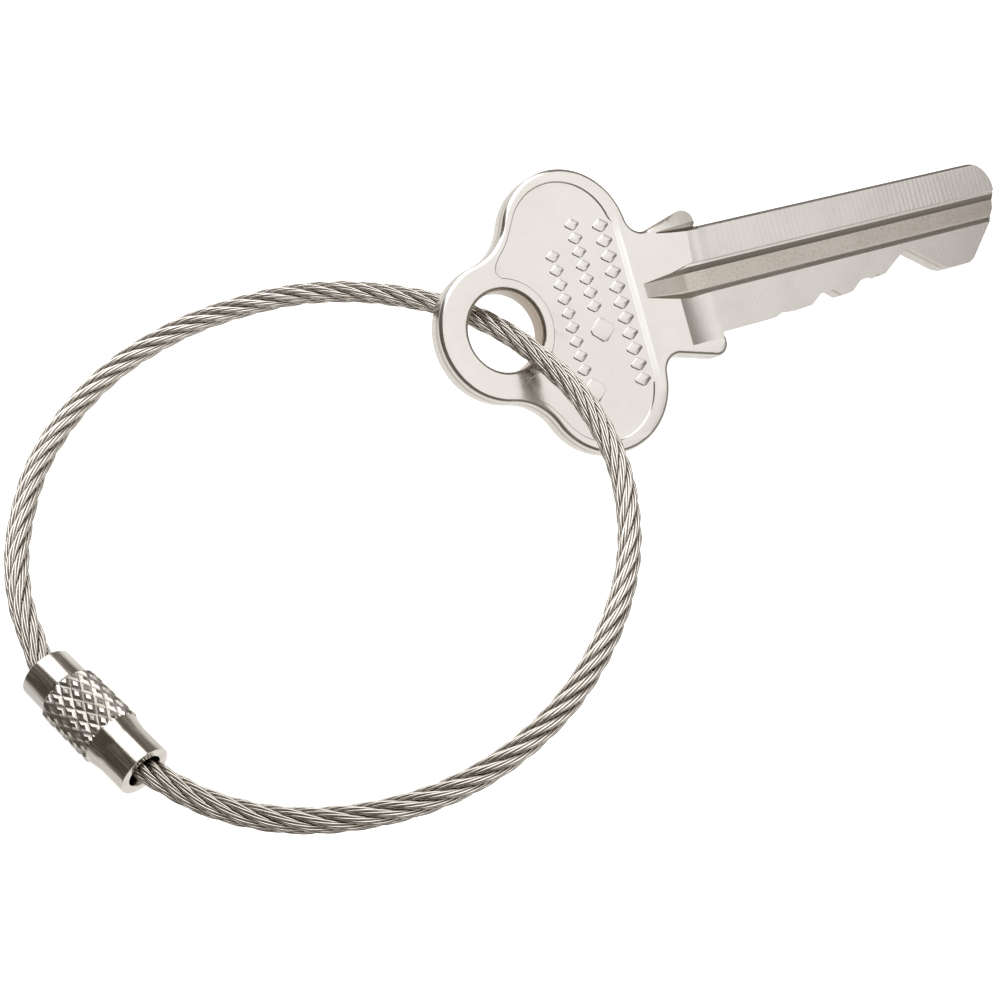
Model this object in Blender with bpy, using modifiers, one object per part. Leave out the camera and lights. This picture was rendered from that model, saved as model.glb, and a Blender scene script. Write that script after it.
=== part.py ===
"""Wire-rope key ring with a screw barrel, and the flat cylinder key threaded on it.

The rope is bent into one loop.  One end is crimped into a threaded end piece.  The other end
carries a crimped stop, which is caught inside a knurled barrel, and the barrel screws onto the
threaded end.  The key hangs on the rope by the round hole in its bow.
Metres, +Z up, standing on Z = 0 as the object lies on a table.
"""
import math

import bmesh
import bpy
from mathutils import Euler, Matrix, Vector

MM = 0.001

# Rope
ROPE_R = 0.90 * MM
ROPE_POINTS = 64
# The rope's loop in the loop's own plane, millimetres from its centre, with +X towards the key.
# It runs from inside the threaded end, round past the key, and into the barrel's exit bore.
ROPE_ROUTE = [
    (-20.80, 2.10), (-20.60, 4.70), (-20.38, 7.30), (-19.60, 9.15), (-17.95, 12.50), (-15.60, 15.62),
    (-12.65, 18.20), (-9.43, 20.28), (-5.79, 21.62), (-1.95, 22.26), (1.55, 22.21), (4.97, 21.52),
    (7.87, 20.51), (10.90, 18.90), (13.74, 16.97), (15.97, 14.89), (18.09, 12.20), (19.78, 9.23),
    (21.05, 6.20), (21.75, 3.10), (21.95, 0.00), (21.70, -2.90), (20.75, -7.30), (18.60, -11.85),
    (15.80, -15.40), (11.70, -18.70), (6.60, -21.00), (0.80, -22.08), (-4.90, -21.62),
    (-10.00, -19.80), (-14.40, -16.75), (-17.90, -12.80), (-20.10, -8.30), (-20.98, -4.00),
    (-21.13, -2.10), (-21.02, -0.60), (-20.93, 0.60),
]

# Screw barrel: all its pieces share one axis, measured from a point just outside the threaded end
BARREL_START = (-20.37, 7.73)
BARREL_END = (-21.22, -3.36)
BARREL_LENGTH = 11.10 * MM
COLLAR_START = 0.55 * MM
COLLAR_R = 1.93 * MM
COLLAR_LENGTH = 2.85 * MM
STUD_END = 6.30 * MM
ROPE_BORE_R = 1.02 * MM
MOUTH_R = 1.28 * MM
CRIMP_START = 2.60 * MM
THREAD_PITCH = 0.50 * MM
THREAD_R = 1.37 * MM
THREAD_DEPTH = 0.11 * MM
THREAD_GAP = 0.13 * MM
THREAD_ROWS = 6
KNURL_R = 2.19 * MM
KNURL_START = 2.95 * MM
KNURL_END = 7.55 * MM
TAPER_END = 8.80 * MM
NOSE_R = 1.90 * MM
CAVITY_R = 1.62 * MM
CAVITY_START = 6.55 * MM
CAVITY_END = 9.35 * MM
EXIT_BORE_R = 1.25 * MM
EXIT_FLARE_R = 1.50 * MM
STOP_R = 1.42 * MM
STOP_START = 6.85 * MM
STOP_END = 9.10 * MM
ROUND_STEPS = 32

# Key, in its own plane: s runs from the hole to the tip, w across the blade
KEY_THICKNESS = 2.00 * MM
HOLE_R = 3.22 * MM
EYE_R = 5.65 * MM
LOBE_R = 5.74 * MM
LOBE_CENTRE = (7.50, 5.95)
CROTCH_R = 4.50 * MM
NECK_R = 1.40 * MM
NECK_W = 5.27 * MM
STOP_CENTRE = (18.60, 5.20)
STOP_BUMP_R = 1.08 * MM
BLADE_TOP = 4.72 * MM
NOSE_CORNER = (50.15, 2.12)
NOSE_CORNER_R = 2.60 * MM
# The blade's lower edge from the nose back to the shoulder, with the five cuts
BITTING = [
    (52.65, 1.05), (51.85, -0.55), (48.45, -3.80), (47.80, -4.10), (45.30, -4.05), (41.50, -1.68),
    (40.50, -1.62), (38.00, -3.18), (36.90, -2.98), (35.30, -3.00), (33.80, -3.95), (32.90, -3.95),
    (32.10, -3.32), (30.80, -3.22), (29.20, -4.16), (27.60, -4.12), (26.20, -4.02), (25.30, -4.36),
    (19.80, -4.36),
]
PANEL_CENTRE = (7.08, 6.03)
PANEL_R = 4.67 * MM
PANEL_DEPTH = 0.12 * MM
PANEL_RIGHT = 12.15 * MM
BEAD_R = 4.12 * MM
GROOVE_TOP = 1.45 * MM
GROOVE_BOTTOM = -0.85 * MM
GROOVE_DEPTH = 0.60 * MM
GROOVE_START = 13.20 * MM
MILLED_START = 17.50 * MM
MILLED_DEPTH = 0.18 * MM
BACK_GROOVE = (1.60 * MM, 3.00 * MM)
BACK_GROOVE_DEPTH = 0.65 * MM

# Where the loop and the key lie: location of the loop's centre and of the hole's centre
LOOP_AT = Vector((-20.14, -11.98, 5.08)) * MM
LOOP_TURN = Euler([math.radians(a) for a in (-9.10, -5.15, 51.50)])
KEY_AT = Vector((-7.39, 5.51, 6.89)) * MM
KEY_TURN = Euler([math.radians(a) for a in (27.25, 4.80, 25.95)])


def clear_scene():
    """Remove whatever the new file starts with."""
    for obj in list(bpy.data.objects):
        bpy.data.objects.remove(obj, do_unlink=True)


def collection(name):
    """A new collection in the scene."""
    made = bpy.data.collections.new(name)
    bpy.context.scene.collection.children.link(made)
    return made


def metal(name, colour, roughness):
    """A plain metal finish."""
    mat = bpy.data.materials.new(name)
    mat.use_nodes = True
    shader = mat.node_tree.nodes["Principled BSDF"]
    shader.inputs["Base Color"].default_value = (*colour, 1.0)
    shader.inputs["Metallic"].default_value = 1.0
    shader.inputs["Roughness"].default_value = roughness
    return mat


def finish_node(obj, mat, group, parent):
    """Give a finished object its material, collection and parent."""
    obj.data.materials.clear()
    obj.data.materials.append(mat)
    group.objects.link(obj)
    obj.parent = parent
    return obj


def evaluated_mesh(obj):
    """The object's mesh with its modifiers applied and loose caps welded."""
    bpy.context.view_layer.update()
    depsgraph = bpy.context.evaluated_depsgraph_get()
    mesh = bpy.data.meshes.new_from_object(obj.evaluated_get(depsgraph))
    bm = bmesh.new()
    bm.from_mesh(mesh)
    bmesh.ops.remove_doubles(bm, verts=bm.verts, dist=1e-6)
    bmesh.ops.recalc_face_normals(bm, faces=bm.faces)
    bm.to_mesh(mesh)
    bm.free()
    return mesh


def baked(obj, name):
    """Replace a working object by a plain mesh object of the same shape."""
    mesh = evaluated_mesh(obj)
    mesh.name = name
    matrix = obj.matrix_world.copy()
    bpy.data.objects.remove(obj, do_unlink=True)
    made = bpy.data.objects.new(name, mesh)
    made.matrix_world = matrix
    return made


def smooth_sides(obj, angle=35):
    """Shade the round sides smooth and keep real corners sharp."""
    obj.data.shade_smooth()
    obj.data.set_sharp_from_angle(angle=math.radians(angle))


# ---------------------------------------------------------------- smooth routes


def smooth_route(points, count):
    """Evenly spaced points on a Catmull-Rom curve through the given points."""
    pts = [Vector(p) for p in points]
    pts = [2 * pts[0] - pts[1]] + pts + [2 * pts[-1] - pts[-2]]
    dense = []
    for i in range(1, len(pts) - 2):
        p0, p1, p2, p3 = pts[i - 1:i + 3]
        for k in range(24):
            t = k / 24
            dense.append(0.5 * (2 * p1 + (p2 - p0) * t + (2 * p0 - 5 * p1 + 4 * p2 - p3) * t ** 2
                                + (3 * p1 - p0 - 3 * p2 + p3) * t ** 3))
    dense.append(pts[-2])
    along = [0.0]
    for a, b in zip(dense, dense[1:]):
        along.append(along[-1] + (b - a).length)
    even = []
    j = 0
    for i in range(count):
        goal = along[-1] * i / (count - 1)
        while j < len(dense) - 2 and along[j + 1] < goal:
            j += 1
        share = (goal - along[j]) / max(along[j + 1] - along[j], 1e-12)
        even.append(dense[j].lerp(dense[j + 1], min(max(share, 0.0), 1.0)))
    return even


# ---------------------------------------------------------------- turned pieces


def turned(name, profile, steps):
    """A solid of revolution about Z from a closed profile of (radius, height)."""
    mesh = bpy.data.meshes.new(name)
    verts = [(r, 0.0, z) for r, z in profile]
    edges = [(i, (i + 1) % len(verts)) for i in range(len(verts))]
    mesh.from_pydata(verts, edges, [])
    obj = bpy.data.objects.new(name, mesh)
    bpy.context.scene.collection.objects.link(obj)
    screw = obj.modifiers.new("turn", "SCREW")
    screw.steps = steps
    screw.render_steps = steps
    screw.use_merge_vertices = True
    screw.merge_threshold = 1e-6
    return baked(obj, name)


def thread_rows(start, end, radius):
    """Profile points along a threaded stretch, from its end down to its start."""
    count = round((end - start) / THREAD_PITCH * THREAD_ROWS)
    return [(radius, end + (start - end) * i / count) for i in range(count + 1)]


def cut_thread(obj, start, end, radius):
    """Push a turned wall in and out along a right-hand helix, fading out at both ends."""
    for vert in obj.data.vertices:
        x, y, z = vert.co
        r = math.hypot(x, y)
        if abs(r - radius) > 0.02 * MM or not start - 1e-7 <= z <= end + 1e-7:
            continue
        fade = min(1.0, (z - start) / THREAD_PITCH, (end - z) / THREAD_PITCH)
        wave = math.sin(math.atan2(y, x) - 2 * math.pi * z / THREAD_PITCH)
        scale = (r + THREAD_DEPTH * max(fade, 0.0) * wave) / r
        vert.co = (x * scale, y * scale, z)


def make_threaded_end():
    """Collar and threaded stud, with the bore that the rope is crimped in."""
    thread_start = COLLAR_LENGTH + 0.35 * MM
    thread_end = STUD_END - 0.20 * MM
    profile = [(THREAD_R - 0.22 * MM, STUD_END)]
    profile += thread_rows(thread_start, thread_end, THREAD_R)
    profile += [
        (THREAD_R - 0.14 * MM, COLLAR_LENGTH + 0.20 * MM),
        (THREAD_R - 0.14 * MM, COLLAR_LENGTH),
        (COLLAR_R - 0.10 * MM, COLLAR_LENGTH),
        (COLLAR_R, COLLAR_LENGTH - 0.10 * MM),
        (COLLAR_R, COLLAR_START + 0.15 * MM),
        (COLLAR_R - 0.15 * MM, COLLAR_START),
        (MOUTH_R + 0.15 * MM, COLLAR_START),
        (MOUTH_R, COLLAR_START + 0.15 * MM),
        (MOUTH_R, CRIMP_START - 0.20 * MM),
        (ROPE_BORE_R, CRIMP_START),
        (ROPE_BORE_R, STUD_END),
    ]
    obj = turned("threaded_end", profile, ROUND_STEPS)
    cut_thread(obj, thread_start, thread_end, THREAD_R)
    smooth_sides(obj)
    return obj


def make_knurled_barrel():
    """Barrel: thread, cavity for the stop, inner shoulder and flared exit bore."""
    inner_r = THREAD_R + THREAD_GAP
    thread_start = KNURL_START + 0.20 * MM
    thread_end = CAVITY_START - 0.10 * MM
    profile = [
        (NOSE_R - 0.22 * MM, BARREL_LENGTH),
        (NOSE_R - 0.07 * MM, BARREL_LENGTH - 0.07 * MM),
        (NOSE_R, BARREL_LENGTH - 0.22 * MM),
        (NOSE_R, TAPER_END),
        (KNURL_R - 0.06 * MM, KNURL_END + 0.15 * MM),
        (KNURL_R, KNURL_END),
        (KNURL_R, KNURL_START + 0.12 * MM),
        (KNURL_R - 0.12 * MM, KNURL_START),
        (inner_r + 0.14 * MM, KNURL_START),
    ]
    profile += thread_rows(thread_start, thread_end, inner_r)[::-1]
    profile += [
        (CAVITY_R, CAVITY_START),
        (CAVITY_R, CAVITY_END),
        (EXIT_BORE_R, CAVITY_END + 0.12 * MM),
        (EXIT_BORE_R, BARREL_LENGTH - 0.35 * MM),
        (EXIT_FLARE_R, BARREL_LENGTH),
    ]
    obj = turned("knurled_barrel", profile, ROUND_STEPS)
    cut_thread(obj, thread_start, thread_end, inner_r)
    smooth_sides(obj)
    return obj


def make_stop_ferrule():
    """Crimped sleeve that the barrel pulls on."""
    profile = [
        (STOP_R - 0.15 * MM, STOP_END),
        (STOP_R, STOP_END - 0.15 * MM),
        (STOP_R, STOP_START + 0.15 * MM),
        (STOP_R - 0.15 * MM, STOP_START),
        (ROPE_BORE_R, STOP_START),
        (ROPE_BORE_R, STOP_END),
    ]
    obj = turned("stop_ferrule", profile, 24)
    smooth_sides(obj)
    return obj


def make_rope():
    """The rope as a plain tube along its loop."""
    curve = bpy.data.curves.new("wire_rope", "CURVE")
    curve.dimensions = "3D"
    curve.bevel_depth = ROPE_R
    curve.bevel_resolution = 2
    curve.use_fill_caps = True
    spline = curve.splines.new("POLY")
    route = smooth_route([(x * MM, y * MM, 0.0) for x, y in ROPE_ROUTE], ROPE_POINTS)
    spline.points.add(len(route) - 1)
    for point, at in zip(spline.points, route):
        point.co = (*at, 1.0)
    obj = bpy.data.objects.new("rope_curve", curve)
    bpy.context.scene.collection.objects.link(obj)
    return baked(obj, "wire_rope")


# ---------------------------------------------------------------- key


def arc(centre, radius, start, end, steps):
    """Points on a circle, angles in degrees, centre in millimetres."""
    cx, cy = centre[0] * MM, centre[1] * MM
    turns = [math.radians(start + (end - start) * i / steps) for i in range(steps + 1)]
    return [(cx + radius * math.cos(a), cy + radius * math.sin(a)) for a in turns]


def bearing(a, b):
    """Direction from a to b in degrees."""
    return math.degrees(math.atan2(b[1] - a[1], b[0] - a[0]))


def outside_tangent_centre(c0, r0, c1, r1, radius):
    """Centre of a fillet that touches two circles from outside, left of the line c0-c1 (mm)."""
    a, b = Vector(c0), Vector(c1)
    gap = (b - a).length
    d0, d1 = r0 + radius, r1 + radius
    along = (d0 ** 2 - d1 ** 2 + gap ** 2) / (2 * gap)
    across = math.sqrt(d0 ** 2 - along ** 2)
    unit = (b - a) / gap
    return a + unit * along + Vector((-unit.y, unit.x)) * across


def bow_half():
    """Upper edge of the bow, from the eye's end to the stop bump."""
    eye = (0.0, 0.0)
    crotch = outside_tangent_centre(eye, EYE_R / MM, LOBE_CENTRE, LOBE_R / MM, CROTCH_R / MM)
    neck_w = (NECK_W + NECK_R) / MM
    reach = (LOBE_R + NECK_R) / MM
    neck_s = LOBE_CENTRE[0] + math.sqrt(reach ** 2 - (neck_w - LOBE_CENTRE[1]) ** 2)
    neck = (neck_s, neck_w)
    points = arc(eye, EYE_R, 180, bearing(eye, crotch), 8)
    points += arc(crotch, CROTCH_R, bearing(crotch, eye), bearing(crotch, LOBE_CENTRE), 5)[1:]
    points += arc(LOBE_CENTRE, LOBE_R, bearing(LOBE_CENTRE, crotch),
                  bearing(LOBE_CENTRE, neck), 12)[1:]
    points += arc(neck, NECK_R, bearing(neck, LOBE_CENTRE) % 360, 286, 5)[1:]
    points += arc(STOP_CENTRE, STOP_BUMP_R, 106, 0, 6)
    return points


def key_outline():
    """The whole key's edge, clockwise from the eye."""
    upper = bow_half()
    lower = [(s, -w) for s, w in reversed(upper[1:])]
    stop_s = upper[-1][0]
    blade = [(stop_s, BLADE_TOP)]
    blade += arc(NOSE_CORNER, NOSE_CORNER_R, 90, 0, 6)
    blade += [(s * MM, w * MM) for s, w in BITTING]
    return upper + blade + lower


def plate(name, outlines, thickness):
    """A flat plate from one outer outline and its holes, centred on its own plane."""
    curve = bpy.data.curves.new(name, "CURVE")
    curve.dimensions = "2D"
    curve.fill_mode = "BOTH"
    curve.extrude = thickness / 2
    for outline in outlines:
        spline = curve.splines.new("POLY")
        spline.points.add(len(outline) - 1)
        for point, (x, y) in zip(spline.points, outline):
            point.co = (x, y, 0.0, 1.0)
        spline.use_cyclic_u = True
    obj = bpy.data.objects.new(name, curve)
    bpy.context.scene.collection.objects.link(obj)
    return baked(obj, name)


def cutter_block(name, low, high, group):
    """A box cutter between two corners."""
    bm = bmesh.new()
    bmesh.ops.create_cube(bm, size=1.0)
    mesh = bpy.data.meshes.new(name)
    bm.to_mesh(mesh)
    bm.free()
    low, high = Vector(low), Vector(high)
    size = high - low
    mesh.transform(Matrix.Translation((low + high) / 2) @ Matrix.Diagonal((*size, 1.0)))
    return set_cutter(bpy.data.objects.new(name, mesh), group)


def set_cutter(obj, group):
    """File an object among the cutters."""
    obj.hide_render = True
    obj.display_type = "WIRE"
    group.objects.link(obj)
    return obj


def panel_outline():
    """The sunk panel of the bow: inside the edge, round the eye, straight on its right side."""
    lobe = arc(PANEL_CENTRE, PANEL_R, 185, 20, 12)
    upper = [p for p in lobe if p[0] < PANEL_RIGHT]
    upper.append((PANEL_RIGHT, upper[-1][1] - 0.9 * MM))
    lower = [(s, -w) for s, w in reversed(upper)]
    eye = arc((0.0, 0.0), BEAD_R, -70, 70, 12)
    return upper + lower + eye


def make_key(cutters):
    """Flat key: bow with a hole, milled and grooved blade, five cuts."""
    hole = arc((0.0, 0.0), HOLE_R, 0, 350, 35)
    obj = plate("key", [key_outline(), hole], KEY_THICKNESS)
    top = KEY_THICKNESS / 2
    past = 60 * MM
    panel = plate("panel_cut", [panel_outline()], 1 * MM)
    panel.data.transform(Matrix.Translation((0, 0, top + 0.5 * MM - PANEL_DEPTH)))
    blocks = [
        set_cutter(panel, cutters),
        cutter_block("milled_cut", (MILLED_START, -4.60 * MM, top - MILLED_DEPTH),
                     (past, 4.90 * MM, top + MM), cutters),
        cutter_block("groove_cut", (GROOVE_START, GROOVE_BOTTOM, top - GROOVE_DEPTH),
                     (past, GROOVE_TOP, top + 2 * MM), cutters),
        cutter_block("back_groove_cut", (GROOVE_START, BACK_GROOVE[0], -top - MM),
                     (past, BACK_GROOVE[1], -top + BACK_GROOVE_DEPTH), cutters),
    ]
    for block in blocks:
        cut = obj.modifiers.new(block.name, "BOOLEAN")
        cut.operation = "DIFFERENCE"
        cut.solver = "EXACT"
        cut.object = block
    return obj, blocks


# ---------------------------------------------------------------- assembly


def frame_empty(name, location, rotation, group):
    """An empty that holds one of the object's own frames."""
    empty = bpy.data.objects.new(name, None)
    empty.empty_display_size = 5 * MM
    empty.matrix_world = Matrix.LocRotScale(location, rotation, None)
    group.objects.link(empty)
    return empty


def barrel_frame():
    """The barrel's axis in the loop's plane: origin on the end face, +Z towards the exit bore."""
    start = Vector((*BARREL_START, 0.0)) * MM
    along = (Vector((*BARREL_END, 0.0)) * MM - start).normalized()
    return Matrix.Translation(start) @ along.to_track_quat("Z", "Y").to_matrix().to_4x4()


def build():
    """Make every piece and put it in its place."""
    clear_scene()
    parts = collection("cable_key_ring")
    cutters = collection("cutters")
    rope_steel = metal("stainless_rope", (0.60, 0.58, 0.55), 0.30)
    stud_steel = metal("turned_stud", (0.72, 0.70, 0.67), 0.16)
    stop_steel = metal("crimped_stop", (0.66, 0.64, 0.61), 0.22)
    barrel_steel = metal("polished_barrel", (0.72, 0.70, 0.67), 0.16)
    nickel = metal("nickel_key", (0.74, 0.71, 0.67), 0.28)

    loop = frame_empty("loop_frame", LOOP_AT, LOOP_TURN, parts)
    axis = frame_empty("barrel_axis", None, None, parts)
    axis.matrix_world = loop.matrix_world @ barrel_frame()
    key_frame = frame_empty("key_frame", KEY_AT, KEY_TURN, parts)

    finish_node(make_rope(), rope_steel, parts, loop)
    finish_node(make_threaded_end(), stud_steel, parts, axis)
    finish_node(make_stop_ferrule(), stop_steel, parts, axis)
    finish_node(make_knurled_barrel(), barrel_steel, parts, axis)
    key, blocks = make_key(cutters)
    finish_node(key, nickel, parts, key_frame)
    for block in blocks:
        block.parent = key_frame
    bpy.context.view_layer.update()


build()
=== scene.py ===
"""Looks of the wire-rope key ring with its screw barrel and the flat cylinder key on it.

Metres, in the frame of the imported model.  Every piece is built in one of three frames:
the loop's plane, the barrel's axis, or the key's own plane, and rides on its body.
"""
import math

import bmesh
import bpy
import numpy as np
from mathutils import Euler, Matrix, Vector


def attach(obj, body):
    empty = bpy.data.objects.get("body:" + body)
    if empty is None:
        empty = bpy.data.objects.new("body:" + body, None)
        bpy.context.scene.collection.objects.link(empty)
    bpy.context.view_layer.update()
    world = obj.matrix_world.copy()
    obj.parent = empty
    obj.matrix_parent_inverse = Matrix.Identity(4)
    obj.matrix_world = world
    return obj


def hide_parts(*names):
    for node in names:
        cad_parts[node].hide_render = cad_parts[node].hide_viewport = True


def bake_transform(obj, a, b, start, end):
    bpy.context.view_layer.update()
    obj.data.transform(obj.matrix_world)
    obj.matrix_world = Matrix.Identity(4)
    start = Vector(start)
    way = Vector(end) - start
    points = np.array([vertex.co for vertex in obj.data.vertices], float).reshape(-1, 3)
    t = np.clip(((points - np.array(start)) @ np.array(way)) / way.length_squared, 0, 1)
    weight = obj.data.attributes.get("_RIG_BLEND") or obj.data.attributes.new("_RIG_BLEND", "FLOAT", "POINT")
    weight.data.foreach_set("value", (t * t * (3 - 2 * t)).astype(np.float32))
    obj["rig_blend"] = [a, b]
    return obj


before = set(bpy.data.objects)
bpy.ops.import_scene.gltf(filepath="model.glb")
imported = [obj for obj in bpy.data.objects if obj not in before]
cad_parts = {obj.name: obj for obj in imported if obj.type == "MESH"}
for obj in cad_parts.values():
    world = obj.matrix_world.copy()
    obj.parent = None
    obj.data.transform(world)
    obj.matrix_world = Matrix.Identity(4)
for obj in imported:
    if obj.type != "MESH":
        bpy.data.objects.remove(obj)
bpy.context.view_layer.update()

MM = 0.001

# ------------------------------------------------------------------ camera

camera_data = bpy.data.cameras.new("camera")
camera_data.lens = 53.1
camera_data.sensor_width = 36.0
camera_data.clip_start = 0.001
camera_data.clip_end = 20.0
camera = bpy.data.objects.new("camera", camera_data)
camera.location = Vector((-23.32, -63.33, 99.57)) * MM
camera.rotation_euler = Euler([math.radians(a) for a in (29.76, -9.64, -0.03)])
bpy.context.scene.collection.objects.link(camera)
bpy.context.scene.camera = camera

# ------------------------------------------------------------------ frames

LOOP = Matrix.LocRotScale(Vector((-20.14, -11.98, 5.08)) * MM,
                          Euler([math.radians(a) for a in (-9.10, -5.15, 51.50)]), None)
KEY = Matrix.LocRotScale(Vector((-7.39, 5.51, 6.89)) * MM,
                         Euler([math.radians(a) for a in (27.25, 4.80, 25.95)]), None)
BARREL_START = Vector((-20.37, 7.73, 0.0)) * MM
BARREL_END = Vector((-21.22, -3.36, 0.0)) * MM
BARREL = LOOP @ Matrix.Translation(BARREL_START) @ (
    (BARREL_END - BARREL_START).normalized().to_track_quat("Z", "Y").to_matrix().to_4x4())

# The rope's loop in the loop's own plane, millimetres, as in the CAD source
ROPE_ROUTE = [
    (-20.80, 2.10), (-20.60, 4.70), (-20.38, 7.30), (-19.60, 9.15), (-17.95, 12.50), (-15.60, 15.62),
    (-12.65, 18.20), (-9.43, 20.28), (-5.79, 21.62), (-1.95, 22.26), (1.55, 22.21), (4.97, 21.52),
    (7.87, 20.51), (10.90, 18.90), (13.74, 16.97), (15.97, 14.89), (18.09, 12.20), (19.78, 9.23),
    (21.05, 6.20), (21.75, 3.10), (21.95, 0.00), (21.70, -2.90), (20.75, -7.30), (18.60, -11.85),
    (15.80, -15.40), (11.70, -18.70), (6.60, -21.00), (0.80, -22.08), (-4.90, -21.62),
    (-10.00, -19.80), (-14.40, -16.75), (-17.90, -12.80), (-20.10, -8.30), (-20.98, -4.00),
    (-21.13, -2.10), (-21.02, -0.60), (-20.93, 0.60),
]

ROPE_LENGTH = 136.5 * MM
ROPE_SAMPLES = 620
ROPE_LAY = 12.2 * MM
STRANDS = 6
STRAND_R = 0.288 * MM
STRAND_OFFSET = 0.612 * MM
STRAND_LAY = 4.6 * MM
WIRE_R = 0.096 * MM
WIRES = 6
WIRE_OPEN = math.radians(118)
VALLEY_FILL = 1.04
STRAND_PHASE = 0.7
CORE_R = 0.30 * MM
CORE_SIDES = 12

# Where the rope starts and ends following its loose end, as shares of its length
BEND_START = 0.53
BEND_END = 0.955


def smooth_route(points, count):
    """Evenly spaced points on a Catmull-Rom curve through the given points."""
    pts = [Vector(p) for p in points]
    pts = [2 * pts[0] - pts[1]] + pts + [2 * pts[-1] - pts[-2]]
    dense = []
    for i in range(1, len(pts) - 2):
        p0, p1, p2, p3 = pts[i - 1:i + 3]
        for k in range(24):
            t = k / 24
            dense.append(0.5 * (2 * p1 + (p2 - p0) * t + (2 * p0 - 5 * p1 + 4 * p2 - p3) * t ** 2
                                + (3 * p1 - p0 - 3 * p2 + p3) * t ** 3))
    dense.append(pts[-2])
    dense = np.array(dense)
    along = np.concatenate([[0.0], np.cumsum(np.linalg.norm(np.diff(dense, axis=0), axis=1))])
    goals = np.linspace(0.0, along[-1], count)
    return np.stack([np.interp(goals, along, dense[:, k]) for k in range(3)], axis=1)


def unit(v):
    """Rows scaled to length one."""
    return v / np.linalg.norm(v, axis=-1, keepdims=True)


def in_frame(matrix, points):
    """Points of a local frame, in the row frame."""
    m = np.array(matrix)
    return points @ m[:3, :3].T + m[:3, 3]


def mesh_object(name, verts, faces, matrix=None, smooth=True):
    """A mesh object in the scene."""
    mesh = bpy.data.meshes.new(name)
    mesh.from_pydata([tuple(v) for v in verts], [], faces)
    mesh.validate()
    obj = bpy.data.objects.new(name, mesh)
    if matrix is not None:
        obj.matrix_world = matrix
    bpy.context.scene.collection.objects.link(obj)
    if smooth:
        mesh.shade_smooth()
    return obj


# ------------------------------------------------------------------ rope

route = smooth_route([(x * MM, y * MM, 0.0) for x, y in ROPE_ROUTE], ROPE_SAMPLES)
route_t = unit(np.gradient(route, axis=0))
route_n = np.stack([-route_t[:, 1], route_t[:, 0], np.zeros(ROPE_SAMPLES)], axis=1)
route_b = np.tile([0.0, 0.0, 1.0], (ROPE_SAMPLES, 1))
along = np.linspace(0.0, ROPE_LENGTH, ROPE_SAMPLES)


def strand_outline():
    """Cross-section of a strand: the outer arcs of its wires, as angle and radius."""
    ring = STRAND_R - WIRE_R
    half = math.pi / WIRES
    # each wire shows the part of its circle outside the valley to its neighbour
    valley = ring * math.cos(half)
    points = []
    for w in range(WIRES):
        centre = 2 * math.pi * w / WIRES
        for share in (-1.0, -0.62, -0.22, 0.22, 0.62):
            open_angle = WIRE_OPEN * share
            x = ring + WIRE_R * math.cos(open_angle)
            y = WIRE_R * math.sin(open_angle)
            if share == -1.0:
                x, y = valley * math.cos(half) * VALLEY_FILL, -valley * math.sin(half) * VALLEY_FILL
            points.append((centre + math.atan2(y, x), math.hypot(x, y)))
    return points


def sweep(centres, e1, e2, outline, twist):
    """A tube with the given outline, turned by twist along the line of centres."""
    angles = np.array([a for a, r in outline])[None, :] + twist[:, None]
    radii = np.array([r for a, r in outline])[None, :]
    ring = (centres[:, None, :] + (radii * np.cos(angles))[..., None] * e1[:, None, :]
            + (radii * np.sin(angles))[..., None] * e2[:, None, :])
    return ring.reshape(-1, 3)


def tube_faces(rows, cols, first):
    """Quads round a tube and a face at each end."""
    faces = []
    for i in range(rows - 1):
        a = first + i * cols
        b = a + cols
        faces += [(a + k, a + (k + 1) % cols, b + (k + 1) % cols, b + k) for k in range(cols)]
    faces.append(tuple(first + k for k in reversed(range(cols))))
    last = first + (rows - 1) * cols
    faces.append(tuple(last + k for k in range(cols)))
    return faces


def make_rope():
    """Six right-hand strands with the outline of six wires each, round a plain core, as one mesh."""
    outline = strand_outline()
    verts, faces, valleys, count = [], [], [], 0
    for j in range(STRANDS):
        turn = 2 * math.pi * along / ROPE_LAY + 2 * math.pi * j / STRANDS
        out = np.cos(turn)[:, None] * route_n + np.sin(turn)[:, None] * route_b
        centres = route + STRAND_OFFSET * out
        tangent = unit(np.gradient(centres, axis=0))
        e1 = unit(out - (out * tangent).sum(1, keepdims=True) * tangent)
        e2 = np.cross(tangent, e1)
        twist = -2 * math.pi * along / STRAND_LAY + j * STRAND_PHASE
        verts.append(sweep(centres, e1, e2, outline, twist))
        faces += tube_faces(ROPE_SAMPLES, len(outline), count)
        count += ROPE_SAMPLES * len(outline)
        ring = np.array([r for a, r in outline]) / STRAND_R
        valleys.append(np.tile(ring, ROPE_SAMPLES))
    core = [(2 * math.pi * k / CORE_SIDES, CORE_R) for k in range(CORE_SIDES)]
    verts.append(sweep(route, route_n, route_b, core, 0 * along))
    faces += tube_faces(ROPE_SAMPLES, len(core), count)
    valleys.append(np.zeros(ROPE_SAMPLES * len(core)))
    obj = mesh_object("rope_strands", in_frame(LOOP, np.concatenate(verts)), faces)
    obj.data.set_sharp_from_angle(angle=math.radians(50))
    # the wires' height drives the painted shade in the rope's valleys
    depth = obj.data.attributes.new("wire_height", "FLOAT", "POINT")
    depth.data.foreach_set("value", np.concatenate(valleys).astype(np.float32))
    return obj


rope = make_rope()
rope_columns = [len(strand_outline())] * STRANDS + [CORE_SIDES]
rope_path = in_frame(LOOP, route)


# ------------------------------------------------------------------ turned pieces

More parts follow.
